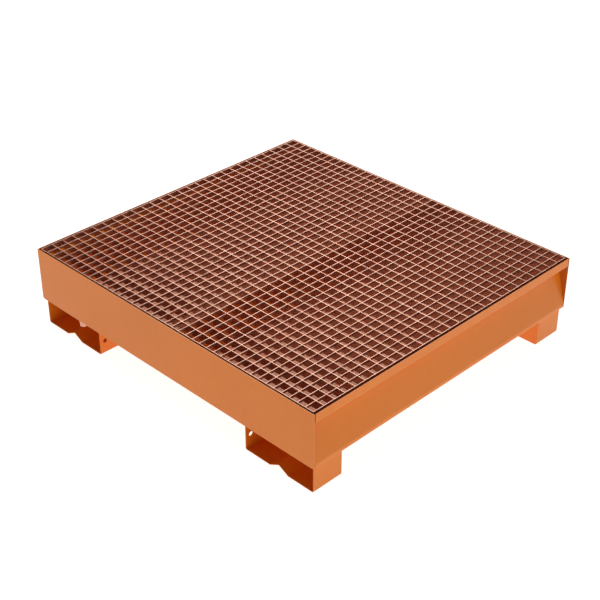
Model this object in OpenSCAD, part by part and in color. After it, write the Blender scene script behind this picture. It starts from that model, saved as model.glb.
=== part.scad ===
// Spill containment pallet: a welded sheet-steel sump tray on four folded feet,
// with a lift-out pressed steel grating that rests on the tray's two ledges and
// on a beam across the middle of the sump.
// Millimetres. Origin: centre of the footprint at floor level. X is the longer
// side, Z is up. The grating's bearing bars run along X, its cross bars along Y.

/* [Tray] */
// Height of the sump tray, without its feet
tray_h = 203; // [150:1:300]
// Thickness of the tray's steel sheet
sheet_t = 3; // [2:0.5:4]
// Height of the upright lip that surrounds the grating
lip_h = 34; // [32:1:50]
// Width of the ledge that carries the ends of the bearing bars
ledge_w = 42; // [36:1:70]
// Height of the upright flange at the foot of each long side
flange_h = 17; // [10:1:30]
// Inside radius of the folds
fold_r = 4; // [2:0.5:8]
// Radius of the end walls' bottom corners
corner_r = 8; // [3:1:15]
// Width of the open seams where the lips and flanges meet the end walls
seam_gap = 3; // [0.5:0.5:4]

/* [Feet] */
// Height of the feet
foot_h = 101; // [80:1:140]
// Length of a foot along X
foot_l = 300; // [220:1:360]
// Depth of a foot along Y
foot_w = 122; // [90:1:180]
// How far the feet stand in from the tray's sides, along X
foot_inset_x = 10.5; // [0:0.5:30]
// How far the feet stand in from the tray's end walls, along Y
foot_inset_y = 9.5; // [0:0.5:30]
// Width of the raised ridge along the middle of a foot's sole
ridge_w = 80; // [50:1:120]
// Height of that ridge
ridge_h = 21; // [10:1:35]
// Diameter of the hole in each foot's channel-side wall
pin_hole_d = 16; // [10:1:30]
// Distance of that hole from the foot's open edge
pin_hole_inset = 22; // [18:0.5:40]

/* [Beam] */
// Width of the beam's top
beam_w = 50; // [40:1:80]
// Width of the flanges that weld the beam to the sump's floor
beam_flange_w = 25; // [15:1:40]
// Number of flow openings along the base of the beam
flow_count = 3; // [1:1:5]
// Width of a flow opening
flow_w = 80; // [40:1:120]
// Height of a flow opening above the sump's floor
flow_h = 30; // [15:1:50]

/* [Grating] */
// Number of mesh cells along X
cells_x = 40; // [30:1:44]
// Number of mesh cells along Y
cells_y = 28; // [22:1:30]
// Mesh pitch along X
pitch_x = 33.33; // [30:0.01:35]
// Mesh pitch along Y
pitch_y = 44.44; // [40:0.01:46]
// Thickness of every grating bar
bar_t = 2; // [2:0.5:3]
// Depth of the bearing bars and of the two end bars
bar_h = 30; // [25:1:30]
// Depth of the cross bars
cross_h = 10; // [6:1:12]
// Mean gap between the grating's ends and the tray's lips
end_gap = 7.8; // [6:0.1:12]
// Mean gap between the grating's sides and the tray's end walls
side_gap = 4.5; // [4.5:0.1:8]
// How far the loose grating lies off the tray's middle, along X
grating_x = -3.4; // [-5:0.1:5]
// How far the loose grating lies off the tray's middle, along Y
grating_y = 2.5; // [-4:0.1:4]
// Clearance under the bearing bars where they rest
rest_gap = 0.3; // [0.1:0.1:0.5]

/* [Earthing lug] */
// Width of the lug where it meets the tray
lug_w = 45; // [30:1:60]
// How far the lug's steep side hangs below the tray
lug_drop = 21; // [15:1:40]
// Thickness of the lug
lug_t = 4; // [3:0.5:6]
// Distance of the lug's middle from the tray's centre, towards -X
lug_x = 444.5; // [400:0.5:500]

/* [Hidden] */
$fn = 48;
FOLD_STEPS = 6;
CUT = 1;
STEEL_PAINT = "#d27b40";
ZINC = "#c9b3a6";
BARE_STEEL = "#c59a84";

grating_l = cells_x * pitch_x + bar_t;
grating_w = cells_y * pitch_y + bar_t;
tray_l = grating_l + 2 * (end_gap + sheet_t);
tray_w = grating_w + 2 * (side_gap + sheet_t);
pan_w = tray_w - 2 * sheet_t;
top_z = foot_h + tray_h;
ledge_z = top_z - lip_h + sheet_t;
floor_z = foot_h + sheet_t;
bar_z = ledge_z + rest_gap;
grating_z = bar_z + bar_h;
foot_x = tray_l / 2 - foot_inset_x - foot_l / 2;
foot_y = tray_w / 2 - foot_inset_y - foot_w / 2;
beam_h = ledge_z - floor_z;

bearing_count = cells_y - 1;
BEARING_NAMES = [for (i = [1:bearing_count]) str("bearing_bar_", i < 10 ? "0" : "", i)];

// Unit vector from p to q, and a direction turned a quarter turn to the left.
function heading(p, q) = (q - p) / norm(q - p);
function left(d) = [-d[1], d[0]];
function turned(v, a) = [v[0] * cos(a) - v[1] * sin(a), v[0] * sin(a) + v[1] * cos(a)];
function turn_angle(d0, d1) = atan2(d0[0] * d1[1] - d0[1] * d1[0], d0 * d1);

// One side of a folded sheet's section: the path runs along the sheet's middle, and
// each corner becomes an arc about the fold's centre. side is 1 for left, -1 for right.
function fold_arc(p, d0, d1, t, r, side) =
    let (a = turn_angle(d0, d1), s = sign(a), mid_r = r + t / 2)
    let (centre = p - d0 * mid_r * tan(abs(a) / 2) + left(d0) * s * mid_r)
    let (arc_r = mid_r - s * side * t / 2)
    [for (k = [0:FOLD_STEPS]) centre + turned(-left(d0) * s * arc_r, a * k / FOLD_STEPS)];

function fold_side(path, t, r, side) =
    let (n = len(path) - 1, w = side * t / 2)
    let (d_first = heading(path[0], path[1]), d_last = heading(path[n - 1], path[n]))
    concat(
        [path[0] + left(d_first) * w],
        [for (i = [1:n - 1])
            for (q = fold_arc(path[i], heading(path[i - 1], path[i]),
                              heading(path[i], path[i + 1]), t, r, side)) q],
        [path[n] + left(d_last) * w]
    );

function backwards(list) = [for (i = [len(list) - 1:-1:0]) list[i]];
function mirrored(path) = backwards([for (p = path) [-p[0], p[1]]]);

// Section of a sheet folded along a path.
module folded(path, t, r) {
    polygon(concat(fold_side(path, t, r, 1), backwards(fold_side(path, t, r, -1))));
}

// Stands a section drawn in X and Z upright and gives it a length along Y.
module along_y(length) {
    rotate([90, 0, 0])
        linear_extrude(height = length, center = true) children();
}

// A box given by its middle in X and Y, its underside and its size.
module block(centre_xy, z, size) {
    translate([centre_xy[0] - size[0] / 2, centre_xy[1] - size[1] / 2, z]) cube(size);
}

// Right half of the pan's path, from the middle of the floor up to the lip's edge.
half_t = sheet_t / 2;
PAN_HALF = [
    [tray_l / 2 - half_t, foot_h + half_t],
    [tray_l / 2 - half_t, foot_h + flange_h],
    [tray_l / 2 - ledge_w - half_t, ledge_z - half_t],
    [tray_l / 2 - half_t, ledge_z - half_t],
    [tray_l / 2 - half_t, top_z]
];

// The pan is one sheet: floor, two leaning long sides, their ledges and lips.
module sump_pan() {
    color(STEEL_PAINT)
        difference() {
            along_y(pan_w) folded(concat(mirrored(PAN_HALF), PAN_HALF), sheet_t, fold_r);
            for (sx = [-1, 1], sy = [-1, 1]) {
                seam(sx, sy, ledge_z, lip_h, sheet_t);
                seam(sx, sy, foot_h, flange_h, half_t);
            }
        }
}

// Open seam at a pan corner, cut to a depth from the outer face.
module seam(sx, sy, z, h, depth) {
    x = sx * (tray_l / 2 - depth / 2 + CUT / 2);
    y = sy * (pan_w / 2 - seam_gap / 2 + CUT / 2);
    block([x, y], z, [depth + CUT, seam_gap + CUT, h]);
}

// Outline of a plate of width w and height h that stands on z, with bottom corners of radius r.
module plate_outline(z, w, h, r) {
    corner_x = w / 2 - r;
    translate([-w / 2, z + r]) square([w, h - r]);
    translate([-corner_x, z]) square([2 * corner_x, h]);
    for (sx = [-1, 1])
        translate([sx * corner_x, z + r]) circle(r = r);
}

module end_wall(sy) {
    color(STEEL_PAINT)
        translate([0, sy * (tray_w - sheet_t) / 2, 0])
            along_y(sheet_t) plate_outline(foot_h, tray_l, tray_h, corner_r);
}

// The beam is a hat section that stands on the sump's floor, under the grating.
module centre_beam() {
    web_x = (beam_w - sheet_t) / 2;
    half = [
        [web_x, ledge_z - half_t],
        [web_x, floor_z + half_t],
        [web_x + beam_flange_w, floor_z + half_t]
    ];
    flow_pitch = pan_w / (flow_count + 1);
    span = beam_w + 2 * beam_flange_w + 2 * CUT;
    color(STEEL_PAINT)
        difference() {
            along_y(pan_w) folded(concat(mirrored(half), half), sheet_t, fold_r);
            for (i = [1:flow_count])
                block([0, i * flow_pitch - pan_w / 2], floor_z - CUT, [span, flow_w, flow_h + CUT]);
        }
}

// Section of a foot: two upright walls and a sole with a raised ridge in its middle.
function foot_path(top) = [
    [-(foot_l - sheet_t) / 2, top],
    [-(foot_l - sheet_t) / 2, half_t],
    [-ridge_w / 2, half_t],
    [0, half_t + ridge_h],
    [ridge_w / 2, half_t],
    [(foot_l - sheet_t) / 2, half_t],
    [(foot_l - sheet_t) / 2, top]
];

// A foot is open towards the outside; its back is closed by a plate of its own.
module foot(sx, sy) {
    hole_x = sx * (foot_x - (foot_l - sheet_t) / 2);
    hole_y = sy * (tray_w / 2 - foot_inset_y - pin_hole_inset);
    color(STEEL_PAINT)
        difference() {
            translate([sx * foot_x, sy * (foot_y + half_t), 0])
                along_y(foot_w - sheet_t) folded(foot_path(foot_h), sheet_t, fold_r);
            translate([hole_x, hole_y, foot_h / 2])
                rotate([0, 90, 0])
                    cylinder(d = pin_hole_d, h = sheet_t + 2 * CUT, center = true);
        }
}

// Back plate of a foot, cut to the foot's outer outline.
module foot_plate(sx, sy) {
    outer = fold_side(foot_path(foot_h), sheet_t, fold_r, -1);
    color(STEEL_PAINT)
        translate([sx * foot_x, sy * (foot_y - (foot_w - sheet_t) / 2), 0])
            along_y(sheet_t) polygon(outer);
}

// Bonding lug under the front wall, for an earthing clamp: steep on the side
// towards -X, and cut back in two steps on the other.
module earthing_lug() {
    toe = [-0.4 * lug_w, foot_h - lug_drop];
    knee = [lug_w / 8, foot_h - 0.6 * lug_drop];
    color(BARE_STEEL)
        translate([-lug_x, (lug_t - tray_w) / 2, 0])
            along_y(lug_t)
                polygon([[-lug_w / 2, foot_h], toe, knee, [lug_w / 2, foot_h]]);
}

// The grating lies loose, a little off the tray's middle.
module lying_loose() {
    color(ZINC) translate([grating_x, grating_y, 0]) children();
}

// Bearing bar number i, slotted from above for the cross bars.
module bearing_bar(i) {
    y = i * pitch_y - cells_y * pitch_y / 2;
    length = cells_x * pitch_x - bar_t;
    lying_loose()
        difference() {
            block([0, y], bar_z, [length, bar_t, bar_h]);
            for (k = [1:cells_x - 1])
                block([k * pitch_x - cells_x * pitch_x / 2, y], grating_z - cross_h,
                      [bar_t, bar_t + 2 * CUT, cross_h + CUT]);
        }
}

// The cross bars pass through the slots and end against the side bars.
module cross_bars() {
    lying_loose()
        for (k = [1:cells_x - 1])
            block([k * pitch_x - cells_x * pitch_x / 2, 0], grating_z - cross_h,
                  [bar_t, cells_y * pitch_y - bar_t, cross_h]);
}

// The side bars close the mesh along X, between the end bars.
module side_bar(sy) {
    lying_loose()
        block([0, sy * cells_y * pitch_y / 2], bar_z, [cells_x * pitch_x - bar_t, bar_t, bar_h]);
}

// The end bars close the mesh along Y, over the full width.
module end_bar(sx) {
    lying_loose()
        block([sx * cells_x * pitch_x / 2, 0], bar_z, [bar_t, grating_w, bar_h]);
}

sump_pan();
end_wall(-1);  // front_wall
end_wall(1);  // rear_wall
centre_beam();
foot(-1, -1);  // foot_front_left
foot(1, -1);  // foot_front_right
foot(-1, 1);  // foot_rear_left
foot(1, 1);  // foot_rear_right
foot_plate(-1, -1);  // foot_plate_front_left
foot_plate(1, -1);  // foot_plate_front_right
foot_plate(-1, 1);  // foot_plate_rear_left
foot_plate(1, 1);  // foot_plate_rear_right
earthing_lug();
side_bar(-1);  // side_bar_front
side_bar(1);  // side_bar_rear
end_bar(-1);  // end_bar_left
end_bar(1);  // end_bar_right
cross_bars();
for (i = [1:bearing_count])
    bearing_bar(i);
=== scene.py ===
import math

import bpy
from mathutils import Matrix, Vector

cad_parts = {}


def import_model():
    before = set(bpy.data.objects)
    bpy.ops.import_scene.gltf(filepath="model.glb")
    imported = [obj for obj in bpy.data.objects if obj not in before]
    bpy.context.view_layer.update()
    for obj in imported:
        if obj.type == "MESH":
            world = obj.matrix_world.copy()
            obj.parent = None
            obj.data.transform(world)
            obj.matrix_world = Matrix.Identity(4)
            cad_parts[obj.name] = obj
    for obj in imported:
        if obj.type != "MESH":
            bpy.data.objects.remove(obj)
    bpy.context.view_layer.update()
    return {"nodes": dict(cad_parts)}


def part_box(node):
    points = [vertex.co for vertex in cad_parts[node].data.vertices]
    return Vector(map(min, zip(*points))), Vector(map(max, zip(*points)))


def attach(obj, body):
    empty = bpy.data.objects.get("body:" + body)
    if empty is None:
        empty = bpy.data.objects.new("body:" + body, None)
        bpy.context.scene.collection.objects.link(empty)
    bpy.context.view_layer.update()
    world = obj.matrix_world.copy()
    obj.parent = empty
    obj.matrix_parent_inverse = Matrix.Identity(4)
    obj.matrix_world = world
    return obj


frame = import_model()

# Metres, as in the part's design: the sizes that the frame's boxes don't give.
SHEET = 0.003
LIP = 0.034
FLANGE = 0.017
BEAM_FLANGE = 0.025
SLOPE_RUN = 0.042
FLOW_OPENINGS = 3

# Rounds on the sharp edges.
PAINT_ROUND = 0.0007
ZINC_ROUND = 0.0003
LUG_ROUND = 0.0006

# Fillet welds: ripple, section, how far a bead sinks into the sheet, how far its
# ends stop short of an edge, and legs.
WELD_RIPPLE = 0.0026
WELD_SIDES = 5
WELD_STEPS = 4
WELD_SINK = 0.0004
SHORT_GAP = 0.002
LONG_GAP = 0.006
FOOT_LEG = 0.0042
SUMP_LEG = 0.0036
WEB_LEG = 0.0032
STITCH_LEG = 0.0030
LUG_LEG = 0.0030
BAR_LEG = 0.0024

# Widths over which the masks fade.
FADE = 0.001
THIN_FADE = 0.0004
LEDGE_FADE = 0.004

# Colours, linear.
COAT_DARK, COAT_LIGHT = (0.765, 0.198, 0.0100), (0.805, 0.214, 0.0125)
COAT_MOTTLE = (0.735, 0.185, 0.0085)
# Lighter edge colour: edge wear, and a painted highlight along sharp edges.
COAT_WEAR_AND_HIGHLIGHT = (0.84, 0.36, 0.12)
# Pale pinkish tint: a painted reflection of light on the sump's floor and the beam's top.
COAT_PAINTED_SHEEN = (0.86, 0.46, 0.32)
# Dark red-brown: painted shade for the gaps round the grating and the end recesses.
PAINTED_SHADE = (0.17, 0.022, 0.005)
ZINC_DARK, ZINC_LIGHT = (0.76, 0.435, 0.315), (0.84, 0.495, 0.370)
ZINC_CLOUD = (0.70, 0.380, 0.270)
# Lighter colour: a painted highlight along the bars' sharp edges.
ZINC_EDGE_HIGHLIGHT = (0.92, 0.62, 0.48)
# Darker colour: painted shade on the bars' sides, below their tops.
ZINC_SIDE_SHADE = (0.36, 0.165, 0.105)
LUG_DARK, LUG_LIGHT = (0.68, 0.29, 0.19), (0.78, 0.38, 0.27)
# Lighter colour: a painted highlight along the lug's edges.
LUG_EDGE_HIGHLIGHT = (0.88, 0.52, 0.40)
FLOOR_DARK, FLOOR_LIGHT = (0.34, 0.34, 0.34), (0.36, 0.36, 0.36)
WHITE = (1.0, 1.0, 1.0, 1.0)

# Strength of the floor's own light, and of the sky near the horizon and overhead.
FLOOR_GLOW = 0.93
SKY_LOW = 0.78
SKY_HIGH = 0.10

# Half the floor's side, then the camera: place, aim, and lens and sensor in mm.
FLOOR_HALF = 12.0
CAMERA_AT = (2.7806, -2.7968, 2.6045)
CAMERA_AIM = (0.2076, -0.2177, 0.3030)
LENS, SENSOR = 78.73, 36.0
FAR_CLIP = 50.0


# ---------------------------------------------------------------- material nodes
def add(tree, kind, inputs=None, **settings):
    """A new node. A value in inputs that is a socket is linked, any other is set."""
    node = tree.nodes.new(kind)
    for key, value in settings.items():
        setattr(node, key, value)
    for key, value in (inputs or {}).items():
        if isinstance(value, bpy.types.NodeSocket):
            tree.links.new(value, node.inputs[key])
        else:
            node.inputs[key].default_value = value
    return node


def noise(tree, where, scale, detail=2.0, roughness=0.5):
    inputs = {"Vector": where, "Scale": scale, "Detail": detail, "Roughness": roughness}
    return add(tree, "ShaderNodeTexNoise", inputs).outputs["Fac"]


def spread(tree, value, low, high, to_low=0.0, to_high=1.0):
    inputs = {
        "Value": value,
        "From Min": low,
        "From Max": high,
        "To Min": to_low,
        "To Max": to_high,
    }
    return add(tree, "ShaderNodeMapRange", inputs).outputs["Result"]


def rises(tree, value, start, width):
    return spread(tree, value, start, start + width)


def falls(tree, value, start, width):
    return spread(tree, value, start, start + width, 1.0, 0.0)


def math_node(tree, operation, a, b):
    return add(tree, "ShaderNodeMath", {0: a, 1: b}, operation=operation).outputs[0]


def mix(tree, factor, a, b):
    node = add(tree, "ShaderNodeMix", {"Factor": factor}, data_type="RGBA")
    for key, value in ((6, a), (7, b)):
        if isinstance(value, bpy.types.NodeSocket):
            tree.links.new(value, node.inputs[key])
        else:
            node.inputs[key].default_value = (*value, 1.0)
    return node.outputs[2]


def stretched(tree, where, scale):
    inputs = {"Vector": where, "Scale": scale}
    return add(tree, "ShaderNodeMapping", inputs).outputs["Vector"]


def edge_mask(tree, radius):
    """One along sharp edges, and nothing on flat sheet."""
    rounded = add(tree, "ShaderNodeBevel", {"Radius": radius}, samples=4).outputs["Normal"]
    flat = add(tree, "ShaderNodeNewGeometry").outputs["Normal"]
    dot = add(
        tree, "ShaderNodeVectorMath", {0: rounded, 1: flat}, operation="DOT_PRODUCT"
    ).outputs["Value"]
    flat_dot, sharp_dot = 0.995, 0.85
    return spread(tree, dot, flat_dot, sharp_dot)


def bump(tree, height, distance, normal=None):
    inputs = {"Height": height, "Distance": distance, "Strength": 1.0}
    if normal is not None:
        inputs["Normal"] = normal
    return add(tree, "ShaderNodeBump", inputs).outputs["Normal"]


def absolute(tree, value):
    return math_node(tree, "ABSOLUTE", value, 0.0)


def product(tree, first, *others):
    for other in others:
        first = math_node(tree, "MULTIPLY", first, other)
    return first


def new_material(name):
    material = bpy.data.materials.new(name)
    material.use_nodes = True
    tree = material.node_tree
    tree.nodes.clear()
    output = add(tree, "ShaderNodeOutputMaterial")
    shader = add(tree, "ShaderNodeBsdfPrincipled")
    tree.links.new(shader.outputs["BSDF"], output.inputs["Surface"])
    where = add(tree, "ShaderNodeTexCoord").outputs["Object"]
    return material, tree, shader, where


def connect(tree, shader, **values):
    for key, value in values.items():
        tree.links.new(value, shader.inputs[key.replace("_", " ")])


# ---------------------------------------------------------------- materials
def sump_sheen_mask(tree, where):
    """One on the sump's floor and on the beam's top, where a painted reflection makes the
    coat paler and pinker.
    """
    pan_low, pan_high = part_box("sump_pan")
    beam_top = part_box("centre_beam")[1].z
    floor_top = pan_low.z + SHEET
    slope_head = pan_high.x - SLOPE_RUN - SHEET
    axes = add(tree, "ShaderNodeSeparateXYZ", {"Vector": where}).outputs
    across, deep = absolute(tree, axes["X"]), absolute(tree, axes["Y"])
    above = rises(tree, axes["Z"], floor_top - 0.0015, FADE)
    on_floor = falls(tree, axes["Z"], floor_top + 0.0045, FADE)
    on_beam = rises(tree, axes["Z"], beam_top - 0.0035, FADE)
    mask = product(tree, above, math_node(tree, "ADD", on_floor, on_beam))
    limits = ((axes["Z"], beam_top + FADE), (across, slope_head), (deep, pan_high.y))
    for axis, limit in limits:
        mask = product(tree, mask, falls(tree, axis, limit, FADE))
    return mask


def shade_mask(tree, where):
    """Painted shade on the inside faces of the lips, round the grating, and of the end
    walls.
    """
    pan_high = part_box("sump_pan")[1]
    inner_x = pan_high.x - SHEET
    inner_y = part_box("rear_wall")[1].y - SHEET
    ledge = pan_high.z - LIP + SHEET
    wall_share = 0.45
    axes = add(tree, "ShaderNodeSeparateXYZ", {"Vector": where}).outputs
    across, deep = absolute(tree, axes["X"]), absolute(tree, axes["Y"])
    inside_x = falls(tree, across, inner_x + 0.0003, THIN_FADE)
    inside_y = falls(tree, deep, inner_y + 0.0003, THIN_FADE)
    near_wall = rises(tree, deep, inner_y - 0.0006, THIN_FADE)
    above_ledge = rises(tree, axes["Z"], ledge + 0.002, LEDGE_FADE)
    in_gap = product(tree, inside_x, inside_y, above_ledge)
    in_recess = product(tree, inside_y, near_wall, wall_share)
    return math_node(tree, "MAXIMUM", in_gap, in_recess)


def painted_steel():
    """Orange powder coat: peel, waviness, drift in tone, edge wear with a painted
    highlight, a painted reflection in the sump, painted shade in gaps and recesses.
    """
    material, tree, shader, where = new_material("painted_steel")
    drift = spread(tree, noise(tree, where, 2.2, 2.0), 0.3, 0.7)
    mottle = spread(tree, noise(tree, where, 38.0, 3.0), 0.3, 0.7)
    streaks = noise(tree, stretched(tree, where, (9.0, 9.0, 1.2)), 3.0, 2.0, 0.5)
    grain = noise(tree, where, 900.0, 1.0)
    coat = mix(tree, drift, COAT_DARK, COAT_LIGHT)
    coat = mix(tree, product(tree, mottle, 0.35), coat, COAT_MOTTLE)
    scuffs = spread(tree, noise(tree, where, 130.0, 5.0, 0.7), 0.52, 0.70)
    # Edges: scuffed wear plus a painted highlight, lighter where a rounded edge would
    # catch light.
    wear_and_highlight = product(tree, edge_mask(tree, 0.0012), scuffs, 0.55)
    coat = mix(tree, wear_and_highlight, coat, COAT_WEAR_AND_HIGHLIGHT)
    # Painted reflection: the sump's floor and the beam's top tinted pale, patchy with the
    # mottle.
    patchy = spread(tree, mottle, 0.0, 1.0, 0.96, 0.80)
    coat = mix(tree, product(tree, sump_sheen_mask(tree, where), patchy), coat, COAT_PAINTED_SHEEN)
    # Painted shade: darker colour in those gaps and recesses, patchy with the mottle, and
    # rougher there.
    patchy = spread(tree, mottle, 0.0, 1.0, 0.95, 0.75)
    recess_shade = product(tree, shade_mask(tree, where), patchy)
    coat = mix(tree, recess_shade, coat, PAINTED_SHADE)
    base = spread(tree, streaks, 0.3, 0.7, 0.31, 0.37)
    fine = spread(tree, mottle, 0.0, 1.0, -0.02, 0.03)
    rough = math_node(tree, "ADD", base, fine)
    rough = math_node(tree, "ADD", rough, product(tree, recess_shade, 0.5))
    peel = noise(tree, where, 420.0, 2.0)
    waves = noise(tree, where, 5.0, 1.0)
    normal = bump(tree, waves, 0.0012)
    normal = bump(tree, peel, 0.00005, normal)
    normal = bump(tree, grain, 0.00001, normal)
    connect(tree, shader, Base_Color=coat, Roughness=rough, Normal=normal)
    shader.inputs["Specular IOR Level"].default_value = 0.28
    return material


def zinc_grating():
    """Galvanised bars with a warm cast: spangle, a painted highlight on the edges, painted
    shade on the sides below the tops.
    """
    material, tree, shader, where = new_material("zinc_grating")
    spangle = add(
        tree, "ShaderNodeTexVoronoi", {"Vector": where, "Scale": 140.0, "Randomness": 1.0}
    )
    grain = add(
        tree, "ShaderNodeSeparateColor", {"Color": spangle.outputs["Color"]}
    ).outputs["Red"]
    cloud = spread(tree, noise(tree, where, 14.0, 4.0, 0.6), 0.3, 0.7)
    zinc = mix(tree, grain, ZINC_DARK, ZINC_LIGHT)
    zinc = mix(tree, product(tree, cloud, 0.4), zinc, ZINC_CLOUD)
    # Painted highlight along the edges.
    zinc = mix(tree, product(tree, edge_mask(tree, 0.0006), 0.6), zinc, ZINC_EDGE_HIGHLIGHT)
    # Painted shade: everything below the tops darkened, a little patchy with the cloud.
    height = add(tree, "ShaderNodeSeparateXYZ", {"Vector": where}).outputs["Z"]
    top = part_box("cross_bars")[1].z
    side_shade = spread(tree, height, top - 0.0015, top - 0.0005, 0.70, 0.0)
    side_shade = product(tree, side_shade, spread(tree, cloud, 0.0, 1.0, 0.9, 1.0))
    zinc = mix(tree, side_shade, zinc, ZINC_SIDE_SHADE)
    base = spread(tree, grain, 0.0, 1.0, 0.36, 0.44)
    fine = spread(tree, cloud, 0.0, 1.0, -0.03, 0.05)
    rough = math_node(tree, "ADD", base, fine)
    pitting = noise(tree, where, 260.0, 3.0)
    normal = bump(tree, pitting, 0.00003)
    connect(tree, shader, Base_Color=zinc, Roughness=rough, Normal=normal)
    shader.inputs["Metallic"].default_value = 0.85
    return material


def bare_lug():
    """Bare brushed steel of the bonding lug, with a painted highlight along its edges."""
    material, tree, shader, where = new_material("bare_lug")
    brushed = noise(tree, stretched(tree, where, (40.0, 40.0, 900.0)), 1.0, 3.0)
    cloud = spread(tree, noise(tree, where, 70.0, 3.0), 0.3, 0.7)
    steel = mix(tree, cloud, LUG_DARK, LUG_LIGHT)
    # Painted highlight along the edges.
    steel = mix(tree, product(tree, edge_mask(tree, 0.0012), 0.7), steel, LUG_EDGE_HIGHLIGHT)
    rough = spread(tree, brushed, 0.3, 0.7, 0.32, 0.50)
    normal = bump(tree, brushed, 0.00005)
    connect(tree, shader, Base_Color=steel, Roughness=rough, Normal=normal)
    shader.inputs["Metallic"].default_value = 0.6
    return material


PAINT = painted_steel()
ZINC = zinc_grating()
BARE = bare_lug()


# ---------------------------------------------------------------- CAD nodes
def finish_node(name, material, bevel):
    """The finish of a CAD node, and a small round on its sharp edges."""
    piece = frame["nodes"][name]
    piece.data.materials.clear()
    piece.data.materials.append(material)
    for polygon in piece.data.polygons:
        polygon.use_smooth = True
    weld = piece.modifiers.new("weld", "WELD")
    weld.merge_threshold = 1e-5
    edges = piece.modifiers.new("edges", "BEVEL")
    edges.width = bevel
    edges.segments = 2
    edges.limit_method = "ANGLE"
    edges.angle_limit = math.radians(35)
    edges.use_clamp_overlap = True
    piece.modifiers.new("shading", "WEIGHTED_NORMAL")


for name in frame["nodes"]:
    if name == "earthing_lug":
        finish_node(name, BARE, LUG_ROUND)
    elif "bar" in name:
        finish_node(name, ZINC, ZINC_ROUND)
    else:
        finish_node(name, PAINT, PAINT_ROUND)


# ---------------------------------------------------------------- weld beads
def bead_ring(point, a, b, leg, phase):
    """A cross-section of a fillet weld between faces whose normals are a and b."""
    ring = []
    for i in range(WELD_SIDES + 1):
        turn = math.pi / 2 * i / WELD_SIDES
        ripple = abs(math.sin(math.pi * (phase - 0.35 * math.sin(2 * turn))))
        reach = leg * (0.80 + 0.10 * math.sin(2 * turn) + 0.14 * ripple)
        ring.append(point + a * reach * math.cos(turn) + b * reach * math.sin(turn))
    sunk = WELD_SINK * (a + b)
    return [ring[0] - sunk * 0.5, *ring[1:-1], ring[-1] - sunk * 0.5, point - sunk]


def bead_mesh(verts, faces, start, end, a, b, leg):
    """Adds a rippled bead from start to end, with tapered ends, to verts and faces."""
    a, b = Vector(a).normalized(), Vector(b).normalized()
    start, end = Vector(start), Vector(end)
    length = (end - start).length
    along = (end - start) / length
    count = max(4, round(length / WELD_RIPPLE * WELD_STEPS))
    size = WELD_SIDES + 2
    first = len(verts)
    for i in range(count + 1):
        gone = length * i / count
        taper = min(1.0, 0.35 + 0.65 * min(gone, length - gone) / leg)
        phase = gone / WELD_RIPPLE
        verts.extend(bead_ring(start + along * gone, a, b, leg * taper, phase))
    flip = along.dot(a.cross(b)) < 0
    for i in range(count):
        low, high = first + i * size, first + (i + 1) * size
        for j in range(size):
            k = (j + 1) % size
            quad = [low + j, low + k, high + k, high + j]
            faces.append(quad if not flip else quad[::-1])
    cap = list(range(first, first + size))
    other = list(range(first + count * size, first + (count + 1) * size))
    faces.append(cap[::-1] if not flip else cap)
    faces.append(other if not flip else other[::-1])


def weld_piece(name, body, material, runs):
    """One piece from several bead runs, each (start, end, normal a, normal b, leg)."""
    verts, faces = [], []
    for run in runs:
        bead_mesh(verts, faces, *run)
    mesh = bpy.data.meshes.new(name)
    mesh.from_pydata([tuple(v) for v in verts], [], faces)
    mesh.validate()
    mesh.update()
    for polygon in mesh.polygons:
        polygon.use_smooth = True
    piece = bpy.data.objects.new(name, mesh)
    bpy.context.scene.collection.objects.link(piece)
    piece.data.materials.append(material)
    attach(piece, body)


UP, DOWN = Vector((0, 0, 1)), Vector((0, 0, -1))
PLUS_X, PLUS_Y = Vector((1, 0, 0)), Vector((0, 1, 0))


def foot_welds(side_y, side_x):
    """Three runs that join a foot's walls and back plate to the tray's underside."""
    low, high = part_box(f"foot_{side_y}_{side_x}")
    plate_low, plate_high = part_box(f"foot_plate_{side_y}_{side_x}")
    z = high.z
    outward = -1 if side_y == "front" else 1
    back = plate_high.y if outward < 0 else plate_low.y
    open_y = (low.y if outward < 0 else high.y) - outward * LONG_GAP
    left, right = low.x + SHORT_GAP, high.x - SHORT_GAP
    runs = [
        ((left, back, z), (right, back, z), PLUS_Y * -outward, DOWN, FOOT_LEG),
        ((low.x, back, z), (low.x, open_y, z), -PLUS_X, DOWN, FOOT_LEG),
        ((high.x, back, z), (high.x, open_y, z), PLUS_X, DOWN, FOOT_LEG),
    ]
    weld_piece(f"weld_foot_{side_y}_{side_x}", "tray", PAINT, runs)


for side_y in ("front", "rear"):
    for side_x in ("left", "right"):
        foot_welds(side_y, side_x)


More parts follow.
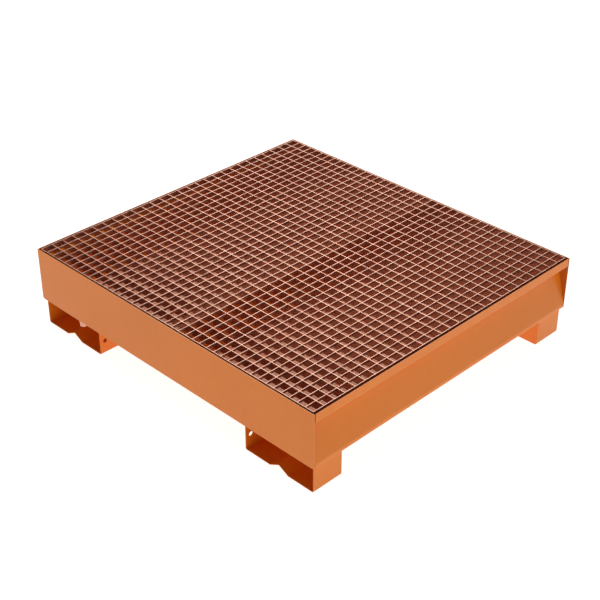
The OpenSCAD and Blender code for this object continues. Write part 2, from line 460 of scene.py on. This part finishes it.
def sump_welds(side_y):
    """Runs in the sump, where its floor, its slopes and the beam meet an end wall."""
    low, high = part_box("sump_pan")
    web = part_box("centre_beam")[1].x - BEAM_FLANGE
    y = low.y if side_y == "front" else high.y
    into = PLUS_Y if side_y == "front" else -PLUS_Y
    floor = low.z + SHEET
    ledge = high.z - LIP + SHEET
    beam_clear, corner_clear = 0.056, 0.010
    slope_x = high.x - SHEET + 0.0001
    slope_foot = Vector((slope_x, y, low.z + FLANGE - 0.0005))
    slope_head = Vector((slope_x - SLOPE_RUN, y, high.z - LIP + 0.0010))
    runs = []
    for sx in (-1, 1):
        side = PLUS_X * sx
        start = slope_foot.lerp(slope_head, 0.08)
        end = slope_foot.lerp(slope_head, 0.95)
        start.x, end.x = sx * start.x, sx * end.x
        slope = (end - start).normalized()
        off = Vector((-sx * slope.z, 0, sx * slope.x))
        inner, outer = sx * beam_clear, sx * (high.x - corner_clear)
        runs.append(((inner, y, floor), (outer, y, floor), into, UP, SUMP_LEG))
        runs.append((start, end, into, off, SUMP_LEG))
        foot, head = (sx * web, y, floor + LONG_GAP), (sx * web, y, ledge - LONG_GAP)
        runs.append((foot, head, into, side, WEB_LEG))
    weld_piece(f"weld_sump_{side_y}", "tray", PAINT, runs)


sump_welds("front")
sump_welds("rear")


def beam_welds():
    """Stitches along both edges of the beam's flanges, clear of the flow openings."""
    low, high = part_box("centre_beam")
    top = low.z + 0.0002
    count, stitch, flow_clear = 9, 0.045, 0.04
    span = high.y - low.y
    flow_pitch = span / (FLOW_OPENINGS + 1)
    runs = []
    for i in range(count):
        middle = low.y + span * (i + 0.5) / count
        for sx in (-1, 1):
            x = sx * high.x
            clear = flow_clear + stitch / 2
            if any(abs(middle - k * flow_pitch) < clear for k in (-1, 0, 1)):
                continue
            start, end = (x, middle - stitch / 2, top), (x, middle + stitch / 2, top)
            runs.append((start, end, PLUS_X * sx, UP, STITCH_LEG))
    weld_piece("weld_beam", "tray", PAINT, runs)


beam_welds()


def lug_weld():
    """One run behind the lug, under the front wall."""
    low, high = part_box("earthing_lug")
    left, right = low.x + SHORT_GAP, high.x - SHORT_GAP
    run = ((left, high.y, high.z), (right, high.y, high.z), PLUS_Y, DOWN, LUG_LEG)
    weld_piece("weld_lug", "tray", BARE, [run])


lug_weld()


def grating_welds():
    """A short upright bead where each bearing bar meets an end bar."""
    run_foot, run_head = 0.006, 0.020
    for side_x, sx in (("left", -1), ("right", 1)):
        bar_low, bar_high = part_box(f"end_bar_{side_x}")
        face = bar_high.x if sx < 0 else bar_low.x
        runs = []
        for name in sorted(frame["nodes"]):
            if name.startswith("bearing_bar_"):
                low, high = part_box(name)
                start = (face, high.y, low.z + run_foot)
                end = (face, high.y, low.z + run_head)
                runs.append((start, end, PLUS_X * -sx, PLUS_Y, BAR_LEG))
        weld_piece(f"weld_grating_{side_x}", "grating", ZINC, runs)


grating_welds()


# ---------------------------------------------------------------- floor, light and camera
def floor():
    """A plain pale floor, bright enough to stay white round the object."""
    mesh = bpy.data.meshes.new("floor")
    half = FLOOR_HALF
    corners = [(-half, -half, 0), (half, -half, 0), (half, half, 0), (-half, half, 0)]
    mesh.from_pydata(corners, [], [(0, 1, 2, 3)])
    plane = bpy.data.objects.new("floor", mesh)
    bpy.context.scene.collection.objects.link(plane)
    material, tree, shader, where = new_material("floor")
    shade = mix(tree, noise(tree, where, 0.7, 2.0), FLOOR_DARK, FLOOR_LIGHT)
    connect(tree, shader, Base_Color=shade)
    shader.inputs["Roughness"].default_value = 0.9
    shader.inputs["Emission Color"].default_value = WHITE
    shader.inputs["Emission Strength"].default_value = FLOOR_GLOW
    mesh.materials.append(material)


def area_light(name, at, towards, size, power):
    light = bpy.data.lights.new(name, "AREA")
    light.shape = "RECTANGLE"
    light.size, light.size_y = size
    light.energy = power
    lamp = bpy.data.objects.new(name, light)
    lamp.location = at
    aim = Vector(towards) - Vector(at)
    lamp.rotation_euler = aim.to_track_quat("-Z", "Y").to_euler()
    bpy.context.scene.collection.objects.link(lamp)


def world():
    """Studio surround: pale near the horizon and dark overhead."""
    sky = bpy.data.worlds.new("studio")
    sky.use_nodes = True
    tree = sky.node_tree
    direction = add(tree, "ShaderNodeTexCoord").outputs["Generated"]
    height = add(tree, "ShaderNodeSeparateXYZ", {"Vector": direction}).outputs["Z"]
    shade = spread(tree, height, 0.05, 0.50, SKY_LOW, SKY_HIGH)
    background = tree.nodes["Background"]
    background.inputs["Color"].default_value = WHITE
    tree.links.new(shade, background.inputs["Strength"])
    bpy.context.scene.world = sky


def camera():
    """A long lens from the front right, well above the pallet."""
    data = bpy.data.cameras.new("camera")
    data.lens = LENS
    data.sensor_width = SENSOR
    data.clip_end = FAR_CLIP
    eye = bpy.data.objects.new("camera", data)
    eye.location = CAMERA_AT
    aim = Vector(CAMERA_AIM) - eye.location
    eye.rotation_euler = aim.to_track_quat("-Z", "Y").to_euler()
    bpy.context.scene.collection.objects.link(eye)
    bpy.context.scene.camera = eye


floor()
world()
area_light("softbox_back", (-2.8, 3.0, 3.0), (0, 0, 0.2), (3.1, 3.1), 116)
area_light("softbox_right", (3.6, 0.0, 2.3), (0, 0, 0.2), (2.2, 2.2), 18)
area_light("softbox_top", (0.1, -0.3, 4.2), (0.2, -0.2, 0.2), (1.2, 1.2), 62)
camera()
bpy.context.scene.view_settings.view_transform = "Standard"
